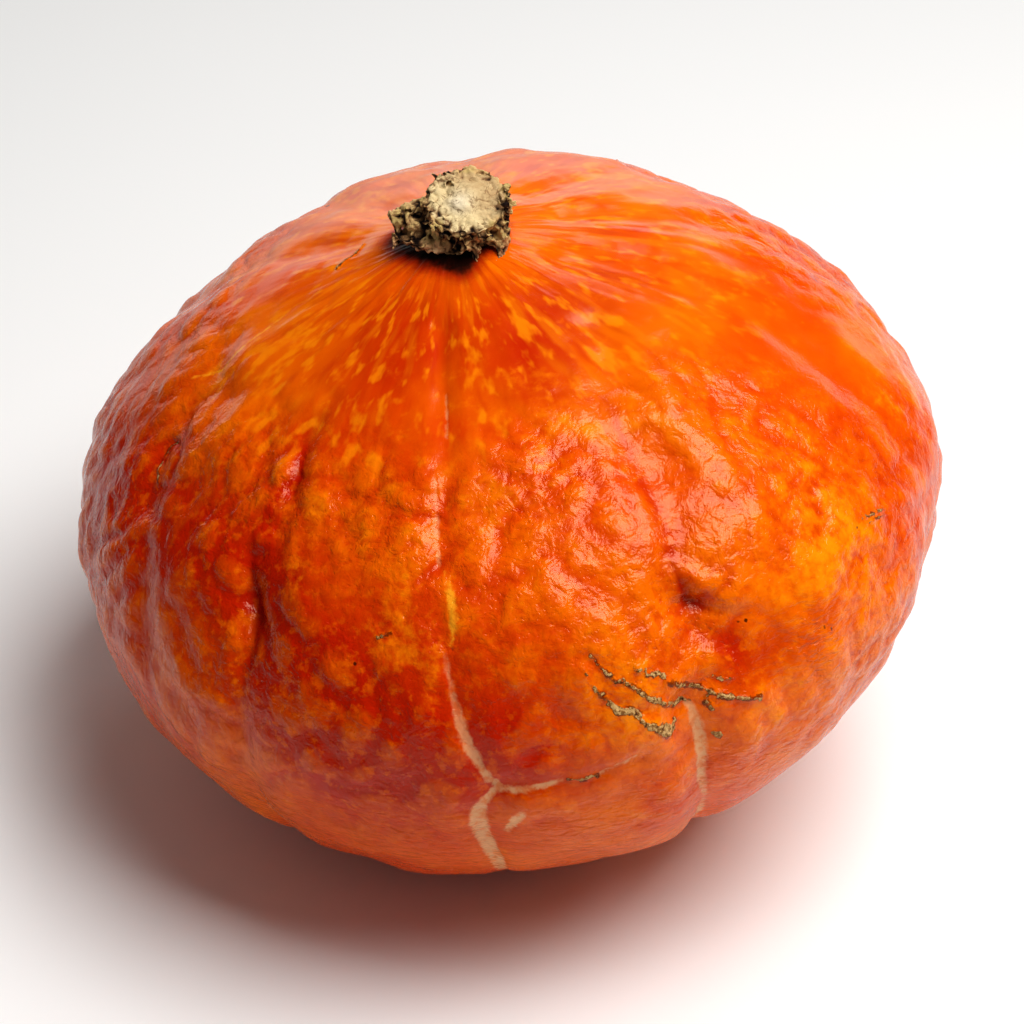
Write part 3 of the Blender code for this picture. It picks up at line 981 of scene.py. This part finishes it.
    # Trails, with half widths, along the creases' shadowed sides, where deep red is painted as shade.
    shaded_creases: tuple[Points, ...] = (
        ((53.1, -36.2, -0.3), (55.7, -33.8, 0.2), (58.8, -33.5, -0.5), (63, -35.6, -0.9)),
        (
            (65, -36.6, -0.9), (69.4, -35.8, 0.0), (72.9, -34, 0.6), (76.5, -32.2, 0.6),
            (79.5, -31.2, 0.1), (84, -32, -0.9),
        ),
        ((71, 27.8, -0.8), (74.5, 27.7, 0.3), (76.8, 28.2, 0.3), (79, 31.3, -0.9)),
    )
    # Red bands painted along the shadowed sides of a furrow and a crease, as shade.
    shaded_crease_bands: tuple[Points, ...] = (
        ((48, 33, 0.1), (60.2, 29.9, 0.6), (67, 28.6, 0.7), (71.9, 28, 0.8), (77, 29, 2.0)),
        ((46, -39, -0.6), (55, -35, 0.2), (64, -35.5, 0.8), (72, -33.5, 2.0), (79, -30, 2.4)),
    )
    wrinkled_areas: tuple[Swell, ...] = (Swell(87, 42, 8, 1.0), Swell(85, -72, 10, 0.7))
    # Polar edge, by bearing, of the dark ring round the stem: a dried stain with the stub's painted contact
    # shadow, reaching further in front.
    stain_and_shadow_edge: Points = (
        (-180, 9.0), (-128, 11.0), (-110, 12.2), (-98, 10.4), (-79, 8.8), (-53, 7.8), (-23, 8.0),
        (-2.5, 9.6), (6.5, 11.0), (12, 11.4), (18, 10.8), (26, 9.4), (36, 8.0), (60, 7.6), (120, 8.0),
        (180, 9.0),
    )
    refined_reach: float = 2.6

    def directions(self) -> bmesh.types.BMesh:
        """Unit sphere with its cells halved near seams, and halved again near scars.

        Returns:
            The sphere.
        """
        bm = grid_directions(self.cells)
        narrow = (*self.scars, *self.cream_seams, *(fold.points for fold in self.creases))
        for reach, trails in ((self.refined_reach, narrow), (1.2, self.scars)):
            ways = rows_of(bm)
            near = np.zeros(len(ways), dtype=bool)
            for trail in trails:
                near |= self.form.beside(ways, trail, 0.0)[0] < reach
            bm.verts.index_update()
            edges = [edge for edge in bm.edges if all(near[vert.index] for vert in edge.verts)]
            bmesh.ops.subdivide_edges(bm, edges=edges, cuts=1, use_grid_fill=True)
            ways = rows_of(bm)
            move_to(bm, ways / np.linalg.norm(ways, axis=1)[:, None])
        bmesh.ops.triangulate(bm, faces=bm.faces)
        return bm

    def nearest(self, ways: np.ndarray, trails: Sequence[Points]) -> np.ndarray:
        """Millimetres to the edge of the nearest of several strips, negative inside one."""
        return np.min([self.form.edge_gap(ways, trail) for trail in trails], axis=0)

    def summed(self, ways: np.ndarray, areas: Sequence[Swell]) -> np.ndarray:
        """Sum of several soft-edged areas.

        Args:
            ways: Unit directions, one row each.
            areas: The areas, whose rise is their strength.

        Returns:
            The strength at each direction.
        """
        total = np.zeros(len(ways))
        for area in areas:
            total += area.rise * bell(self.form.spot_gap(ways, area.polar, area.bearing), area.spread)
        return total

    def centre(self, ways: np.ndarray, relief: np.ndarray) -> np.ndarray:
        """Where the fruit's centre lies, so that its form fills the solid's box.

        Args:
            ways: Unit directions, one row each.
            relief: The solid's relief in each direction.

        Returns:
            The centre in millimetres, in the part's frame.
        """
        form = (ways * (self.form.smooth(ways) + relief)[:, None]) @ self.form.tilt().T
        low, high = form.min(axis=0), form.max(axis=0)
        return np.array((
            -(low[0] + high[0]) / 2.0, -(low[1] + high[1]) / 2.0, -low[2] - self.form.base_flat_depth,
        ))

    def pebbled_share(self, ways: np.ndarray) -> np.ndarray:
        """Share of lumpy skin: none round the stem, and less in a few smooth areas."""
        polar = np.degrees(np.arccos(np.clip(ways[:, 2], -1.0, 1.0)))
        patchy = 0.85 + 0.5 * grain(ways * self.form.radius, 26.0, 4.0)
        share = smooth_step(polar, 36.0, 60.0) * patchy - self.summed(ways, self.smooth_areas)
        return np.clip(share * smooth_step(polar, 118.0, 90.0), 0.06, 1.0)

    def fine_relief(self, ways: np.ndarray, marks: dict[str, np.ndarray]) -> np.ndarray:
        """Relief too fine for the solid.

        Args:
            ways: Unit directions, one row each.
            marks: What the finish reads, with the share of lumpy skin and the lumps' height.

        Returns:
            Millimetres that it adds.
        """
        skin = ways * self.form.radius
        polar = np.degrees(np.arccos(np.clip(ways[:, 2], -1.0, 1.0)))
        pebbled = marks["pebbled"]
        knobs = (marks["knob"] - 0.55) * self.knob_height * (0.1 + 0.9 * pebbled)
        pebbles = grain(swirl(skin, 5.0, 1.2, 2.0), self.pebble_size, 2.0)
        small = pebbles * self.pebble_height * pebbled
        bearing = np.arctan2(ways[:, 0], -ways[:, 1])
        fan = np.stack((np.cos(bearing), np.sin(bearing), polar / 150.0), axis=1)
        near_stem = smooth_step(polar, 4.0, 10.0) * smooth_step(polar, 75.0, 30.0)
        pleats = (grain(fan, 0.18, 9.0) + 0.5 * grain(fan, 0.07, 10.0)) * self.pleat_height * near_stem
        crumble = 0.4 + 1.1 * np.abs(grain(skin, 0.9, 5.0)) + 0.5 * grain(skin, 2.2, 6.0)
        scar = self.scar_height * smooth_step(marks["cork_gap"], 0.45, -0.35) * crumble
        seam = -self.seam_depth * smooth_step(marks["seam_gap"], 0.6, -0.4)
        folds = sum(self.form.fold_relief(ways, crease) for crease in self.creases)
        return knobs + small + pleats + scar + seam + folds

    def marks(self, ways: np.ndarray) -> dict[str, np.ndarray]:
        """Everything that the finish reads about where a point lies on the fruit.

        Args:
            ways: Unit directions, one row each.

        Returns:
            The numbers and vectors to keep at the vertices, by name.
        """
        polar = np.degrees(np.arccos(np.clip(ways[:, 2], -1.0, 1.0)))
        bearing = np.arctan2(ways[:, 0], -ways[:, 1])
        round_about = np.stack((np.cos(bearing), np.sin(bearing)), axis=1)
        speck_gaps = [self.form.spot_gap(ways, *speck[:2]) - speck[2] for speck in self.specks]
        # Painted shade along the creases' shadowed sides.
        crease_shade = smooth_step(self.nearest(ways, self.shaded_creases), 1.6, -0.3)
        skin = ways * self.form.radius
        # Ring round the stem that the finish darkens: dried stain and painted shadow of the stub.
        stained = np.interp(np.degrees(bearing), *zip(*self.stain_and_shadow_edge))
        crease_banded = smooth_step(self.nearest(ways, self.shaded_crease_bands), 2.4, -0.5)
        gold = self.summed(ways, self.gold_areas) + self.summed(ways, self.blisters)
        return {
            "knob": creased(swirl(skin, 9.0, 2.6, 3.0), self.knob_size, 1.0),
            "pebbled": self.pebbled_share(ways),
            "seam_gap": self.nearest(ways, self.cream_seams),
            "strip_gap": self.nearest(ways, self.golden_strips),
            "cork_gap": self.nearest(ways, self.scars),
            "speck_gap": np.min(speck_gaps, axis=0),
            "seam_share": 0.35 + 0.4 * smooth_step(polar, 78.0, 96.0),
            "gold": gold,
            "blush_and_shade": self.summed(ways, self.blush_and_shade_areas) + 0.7 * crease_banded,
            "crease_shade": crease_shade * 0.9,
            "fanned": smooth_step(polar, 70.0, 30.0),
            "flecked": smooth_step(polar, 12.0, 20.0) * smooth_step(polar, 66.0, 46.0),
            "wrinkled": smooth_step(polar, 90.0, 104.0) + self.summed(ways, self.wrinkled_areas),
            "stain_and_shadow": smooth_step(polar - stained, 5.6, -1.6),
            "streak": np.column_stack((round_about, polar / 120.0)),
            "fleck": np.column_stack((round_about, polar / 66.0)),
        }

    def build(self) -> bpy.types.Object:
        """Make the skin and dress it.

        Returns:
            The piece.
        """
        bm = self.directions()
        ways = rows_of(bm)
        marks = self.marks(ways)
        relief = self.form.relief(ways)
        distance = self.form.smooth(ways) + relief + self.fine_relief(ways, marks)
        placed = (ways * distance[:, None]) @ self.form.tilt().T + self.centre(ways, relief)
        placed[:, 2] = np.maximum(placed[:, 2], 0.0)
        move_to(bm, placed * MM)
        piece = mesh_object(bm, "rind")
        for name, values in marks.items():
            store(piece.data, name, values)
        dress(piece, self.finish.material(), Node.FRUIT)
        return piece


@dataclass(frozen=True)
class StemStub:
    """The dry stub of the stem: a broken, tilted cap on a ragged foot."""

    form: SkinForm = SkinForm()
    finish: CorkFinish = CorkFinish()
    cell: float = 0.24
    cap_centre: tuple[float, float, float] = (3.0, -0.9, 6.2)
    cap_radius: float = 7.9
    cap_underside_radius: float = 6.9
    cap_thickness: float = 4.8
    cap_tilt: float = 24.0
    cap_sides: int = 64
    foot: tuple[tuple[float, float, float], tuple[float, float, float]] = (
        (0.5, 0.8, 0.4), (10.2, 7.6, 1.9)
    )
    roots: tuple[tuple[Any, ...], ...] = (
        ((1.5, 1.5, -1.0), (3.0, 0.6, 4.6), 6.4, 6.0),
        ((9.4, -1.0, 5.6), (9.0, -1.5, 1.0), 2.4, 2.3),
        ((-8.8, 3.0, 2.6), (-3.6, 1.6, 5.0), 2.2, 2.6),
        ((-11.0, 0.4, 3.6), (-7.8, -1.2, 3.2), 1.3, 1.5),
        ((-7.8, -1.2, 3.2), (-3.8, -3.0, 2.4), 1.5, 1.1),
        ((-10.6, 1.4, 3.0), (-10.0, -1.8, 0.2), 1.2, 1.1),
        ((-9.4, -2.8, 0.2), (-4.6, -5.0, 0.1), 0.9, 1.1),
        ((-6.0, -4.6, 0.0), (1.8, -6.2, 0.2), 1.1, 1.4),
        ((-5.2, -4.4, 0.6), (-4.6, -4.6, 1.5), 0.9, 0.7),
        ((2.2, -6.6, 3.6), (3.4, -7.8, 1.4), 1.6, 1.1),
        ((4.2, -7.4, 0.8), (5.2, -9.4, -2.4), 1.1, 0.8),
        ((10.4, -4.4, 2.6), (9.6, -6.8, 0.4), 1.4, 1.1),
        ((9.6, -6.8, 0.4), (7.8, -9.6, -2.6), 1.1, 0.8),
    )
    pale_side: tuple[float, float, float] = (-0.7, -0.7, 0.0)
    heart: tuple[float, float, float] = (1.8, -2.6, 7.8)
    crust: tuple[int, float, float] = (190, 0.45, 1.1)
    heaps: tuple[tuple[int, tuple[float, float, float], tuple[float, float, float]], ...] = (
        (34, (-8.0, 1.0, 3.8), (3.0, 2.4, 1.2)),
        (16, (-7.4, -3.4, 0.6), (3.4, 1.0, 0.7)),
        (14, (-1.6, -6.0, 0.6), (3.4, 0.6, 0.6)),
        (12, (9.8, -5.2, 1.6), (1.0, 2.0, 1.6)),
        (10, (3.4, -7.6, 1.6), (1.4, 0.8, 1.6)),
        (18, (3.0, -8.4, 4.4), (5.6, 0.9, 1.0)),
        (14, (-0.8, 2.8, 10.0), (2.6, 2.0, 0.7)),
        (14, (9.8, -1.6, 8.2), (0.9, 3.5, 1.6)),
        (10, (-1.8, -6.6, 5.8), (2.2, 1.3, 0.8)),
    )
    strands: int = 9
    strand_turns: tuple[float, float] = (-35.0, 185.0)
    seed: int = 11

    def cap_axis(self) -> Vector:
        """Direction that the broken face looks in."""
        return Matrix.Rotation(math.radians(self.cap_tilt), 3, "X") @ Vector((0.0, 0.0, 1.0))

    def ball(
        self, bm: bmesh.types.BMesh, centre: Vector, radii: Sequence[float],
        turn: Sequence[float] = (0.0, 0.0, 0.0),
    ) -> None:
        """Add an ellipsoid.

        Args:
            bm: The mesh in the making.
            centre: Its centre.
            radii: Its three radii.
            turn: Its rotation about x, y and z, in radians.
        """
        place = Matrix.LocRotScale(centre, Euler(turn), Vector(radii))
        bmesh.ops.create_icosphere(bm, subdivisions=3, radius=1.0, matrix=place)

    def flake(self, bm: bmesh.types.BMesh, centre: Vector, size: float, draw: random.Random) -> None:
        """Add a flat crumb that is turned at random.

        Args:
            bm: The mesh in the making.
            centre: Its centre.
            size: Its middle radius.
            draw: Where its proportions come from.
        """
        radii = (size, size * draw.uniform(0.4, 0.7), size * draw.uniform(1.0, 1.7))
        self.ball(bm, centre, radii, [draw.uniform(0.0, math.tau) for _ in range(3)])

    def root(
        self, bm: bmesh.types.BMesh, start: Sequence[float], end: Sequence[float],
        start_radius: float, end_radius: float,
    ) -> None:
        """Add a tapered run of overlapping balls.

        Args:
            bm: The mesh in the making.
            start: Where it starts.
            end: Where it ends.
            start_radius: Radius at the start.
            end_radius: Radius at the end.
        """
        first, last = Vector(start), Vector(end)
        steps = math.ceil((last - first).length / (0.4 * min(start_radius, end_radius)))
        for step in range(steps + 1):
            radius = start_radius + (end_radius - start_radius) * step / steps
            self.ball(bm, first.lerp(last, step / steps), (radius,) * 3)

    def lumps(self) -> bmesh.types.BMesh:
        """Cap, foot and roots, with a crust of flakes round the cap and heaps of them elsewhere.

        Returns:
            The overlapping lumps.
        """
        bm = bmesh.new()
        tilt = Matrix.Rotation(math.radians(self.cap_tilt), 4, "X")
        place = Matrix.Translation(Vector(self.cap_centre)) @ tilt
        bmesh.ops.create_cone(
            bm, cap_ends=True, segments=self.cap_sides, radius1=self.cap_underside_radius,
            radius2=self.cap_radius, depth=self.cap_thickness, matrix=place,
        )
        self.ball(bm, Vector(self.foot[0]), self.foot[1])
        for run in self.roots:
            self.root(bm, *run)
        draw = random.Random(self.seed)
        count, least, most = self.crust
        for _ in range(count):
            turn = draw.uniform(0.0, math.tau)
            reach = self.cap_radius * draw.uniform(0.86, 1.06)
            height = draw.uniform(-0.62, 0.47) * self.cap_thickness
            spot = place @ Vector((math.cos(turn) * reach, math.sin(turn) * reach, height))
            self.flake(bm, spot, draw.uniform(least, most), draw)
        for count, middle, spread in self.heaps:
            for _ in range(count):
                spot = Vector([near + far * draw.uniform(-1.0, 1.0) for near, far in zip(middle, spread)])
                self.flake(bm, spot, draw.uniform(least, most), draw)
        for _ in range(self.strands):
            turn = math.radians(draw.uniform(*self.strand_turns))
            top = place @ Vector((math.cos(turn) * 7.4, math.sin(turn) * 7.4, -1.5))
            turn += draw.uniform(-0.25, 0.25)
            low = Vector((0.5 + math.cos(turn) * 9.2, 0.8 + math.sin(turn) * 7.4, 0.2))
            self.root(bm, top, low, draw.uniform(0.7, 1.3), draw.uniform(0.7, 1.2))
        return bm

    def one_skin(self, bm: bmesh.types.BMesh) -> bmesh.types.BMesh:
        """Wrap overlapping lumps in one closed skin of even cells.

        Args:
            bm: The lumps, which are freed.

        Returns:
            The skin.
        """
        blank = mesh_object(bm, "stub_lumps")
        remesh = blank.modifiers.new("one_skin", "REMESH")
        remesh.mode = "VOXEL"
        remesh.voxel_size = self.cell
        bpy.context.view_layer.update()
        evaluated = blank.evaluated_get(bpy.context.evaluated_depsgraph_get())
        skin = bmesh.new()
        skin.from_mesh(evaluated.to_mesh())
        bpy.data.objects.remove(blank)
        self.drop_loose(skin)
        return skin

    def drop_loose(self, skin: bmesh.types.BMesh) -> None:
        """Delete every part of a skin but its largest, so that no crumb hangs in the air.

        Args:
            skin: The skin.
        """
        unseen, largest = set(skin.verts), set()
        while unseen:
            found = {unseen.pop()}
            edge = list(found)
            while edge:
                near = {link.other_vert(vert) for vert in edge for link in vert.link_edges} - found
                found |= near
                edge = list(near)
            unseen -= found
            largest = max(largest, found, key=len)
        bmesh.ops.delete(skin, geom=[vert for vert in skin.verts if vert not in largest])

    def carve(self, places: np.ndarray, normals: np.ndarray) -> tuple[np.ndarray, dict[str, np.ndarray]]:
        """Roughen the skin into cracked cork.

        Args:
            places: The skin's points.
            normals: Their normals.

        Returns:
            The moved points, and what the finish reads.
        """
        axis = np.array(self.cap_axis())
        from_cap = places - np.array(self.cap_centre)
        height = from_cap @ axis
        sideways = np.linalg.norm(from_cap - height[:, None] * axis, axis=1)
        coarse, fine = grain(places, 3.4, 5.3), grain(places, 0.8, 3.0)
        flat = smooth_step(sideways + 1.8 * coarse, 7.9, 6.6) * smooth_step(normals @ axis, 0.3, 0.8)
        face = smooth_step(height, 1.2, 2.0) * flat
        drawn_out = places - 0.6 * height[:, None] * axis
        grooves = creased(swirl(drawn_out, 3.0, 0.8, 4.0), 3.2, 2.0)
        chips = creased(swirl(places, 1.6, 0.5, 12.0), 1.6, 12.0)
        fibres = creased(drawn_out, 1.2, 6.0)
        cuts = creased(swirl(places, 2.4, 1.4, 8.0), 2.6, 8.0)
        bark = 0.4 * coarse - 0.5 * (1.0 - grooves) ** 2 - 0.4 * (1.0 - chips) ** 2
        bark += 0.22 * fine - 0.25 * (1.0 - fibres) ** 2
        broken = 0.55 * coarse + 0.3 * grain(places, 1.5, 9.0) + 0.15 * fine
        broken -= 0.5 * (1.0 - chips) ** 2 * smooth_step(sideways + 1.5 * coarse, 3.8, 6.4)
        broken -= 0.35 * (1.0 - cuts) ** 6 * smooth_step(coarse, 0.2, -0.15)
        pushed = bark * (1.0 - face) + broken * face
        marks = {
            "face": face,
            "heart": bell(np.linalg.norm(places - np.array(self.heart), axis=1), 2.0),
            "height": 0.5 + pushed,
            "low_part": smooth_step(places[:, 2], 3.0, 0.2),
            "pale": smooth_step(from_cap @ np.array(self.pale_side), -4.0, 5.0),
        }
        return places + normals * pushed[:, None], marks

    def seat(self) -> np.ndarray:
        """Where the fruit's axis leaves the skin, in the part's frame."""
        top = np.array([direction(0.0, 0.0)])
        rise = float((self.form.smooth(top) + self.form.relief(top))[0])
        bm = grid_directions(32)
        ways = rows_of(bm)
        bm.free()
        centre = FruitSkin(self.form).centre(ways, self.form.relief(ways))
        return self.form.tilt() @ np.array((0.0, 0.0, rise)) + centre

    def build(self) -> bpy.types.Object:
        """Make the stub and dress it.

        Returns:
            The piece.
        """
        skin = self.one_skin(self.lumps())
        skin.normal_update()
        normals = np.array([vert.normal for vert in skin.verts])
        placed, marks = self.carve(rows_of(skin), normals)
        move_to(skin, (placed + self.seat()) * MM)
        piece = mesh_object(skin, "stem_stub")
        for name, values in marks.items():
            store(piece.data, name, values)
        dress(piece, self.finish.material(), Node.STEM)
        return piece


@dataclass(frozen=True)
class SoftBox:
    """A flat, evenly bright light that faces the squash."""

    name: str
    azimuth: float
    elevation: float
    distance: float
    width: float
    height: float
    radiance: float
    colour: tuple[float, float, float] = (1.0, 1.0, 1.0)

    def build(self, aim: Vector) -> bpy.types.Object:
        """Hang the light.

        Args:
            aim: The point that it faces.

        Returns:
            The light.
        """
        turn, rise = math.radians(self.azimuth), math.radians(self.elevation)
        way = Vector((math.sin(turn) * math.cos(rise), -math.cos(turn) * math.cos(rise), math.sin(rise)))
        lamp = bpy.data.lights.new(self.name, "AREA")
        lamp.shape = "RECTANGLE"
        lamp.size, lamp.size_y = self.width, self.height
        lamp.color = self.colour
        lamp.energy = self.radiance * math.pi * self.width * self.height
        made = bpy.data.objects.new(self.name, lamp)
        made.location = aim + way * self.distance
        made.rotation_euler = (-way).to_track_quat("-Z", "Y").to_euler()
        made.visible_camera = False
        bpy.context.scene.collection.objects.link(made)
        return made


@dataclass(frozen=True)
class Studio:
    """Pale floor, soft lights and the camera at the photograph's viewing angle."""

    focal_length: float = 105.47
    sensor: float = 36.0
    camera_distance: float = 0.600
    camera_elevation: float = 34.0
    aim: tuple[float, float, float] = (0.00176, -0.00385, 0.05709)
    floor_half_size: float = 3.0
    surround: str = "FFFFFF"
    surround_strength: float = 0.13
    look: str = "Medium High Contrast"
    lights: tuple[SoftBox, ...] = (
        SoftBox("key", 66.0, 66.0, 0.95, 0.66, 0.66, 7.6),
        SoftBox("back_light", 172.0, 45.0, 1.0, 0.25, 0.25, 2.8),
        SoftBox("back_panel", 180.0, 8.0, 1.6, 2.8, 0.5, 1.0),
    )
    finish: FloorFinish = field(default_factory=FloorFinish)

    def floor(self) -> bpy.types.Object:
        """Lay the floor.

        Returns:
            The floor.
        """
        bm = bmesh.new()
        bmesh.ops.create_grid(bm, x_segments=8, y_segments=8, size=self.floor_half_size)
        made = mesh_object(bm, "floor")
        made.data.materials.append(self.finish.material())
        return made

    def surroundings(self) -> None:
        """Light the room evenly and dimly from all round."""
        world = bpy.data.worlds.new("room")
        world.use_nodes = True
        background = world.node_tree.nodes["Background"]
        background.inputs["Color"].default_value = paint(self.surround)
        background.inputs["Strength"].default_value = self.surround_strength
        world.cycles_visibility.glossy = False
        bpy.context.scene.world = world

    def camera(self) -> bpy.types.Object:
        """Set up the camera.

        Returns:
            The camera.
        """
        rise = math.radians(self.camera_elevation)
        back = Vector((0.0, -math.cos(rise), math.sin(rise)))
        lens = bpy.data.cameras.new("camera")
        lens.lens, lens.sensor_width = self.focal_length, self.sensor
        lens.clip_start = 0.01
        made = bpy.data.objects.new("camera", lens)
        made.location = Vector(self.aim) + back * self.camera_distance
        made.rotation_euler = (-back).to_track_quat("-Z", "Y").to_euler()
        bpy.context.scene.collection.objects.link(made)
        bpy.context.scene.camera = made
        return made

    def build(self) -> None:
        """Set the stage."""
        self.floor()
        self.surroundings()
        for light in self.lights:
            light.build(Vector(self.aim))
        self.camera()
        bpy.context.scene.view_settings.view_transform = "Standard"
        bpy.context.scene.view_settings.look = self.look


def main() -> None:
    """Build every piece and the stage, and report each piece."""
    logging.basicConfig(level=logging.INFO, format="%(message)s")
    for maker in (FruitSkin(), StemStub()):
        piece = maker.build()
        log.info("%s: %d faces", piece.name, len(piece.data.polygons))
    Studio().build()


if __name__ == "__main__":
    main()
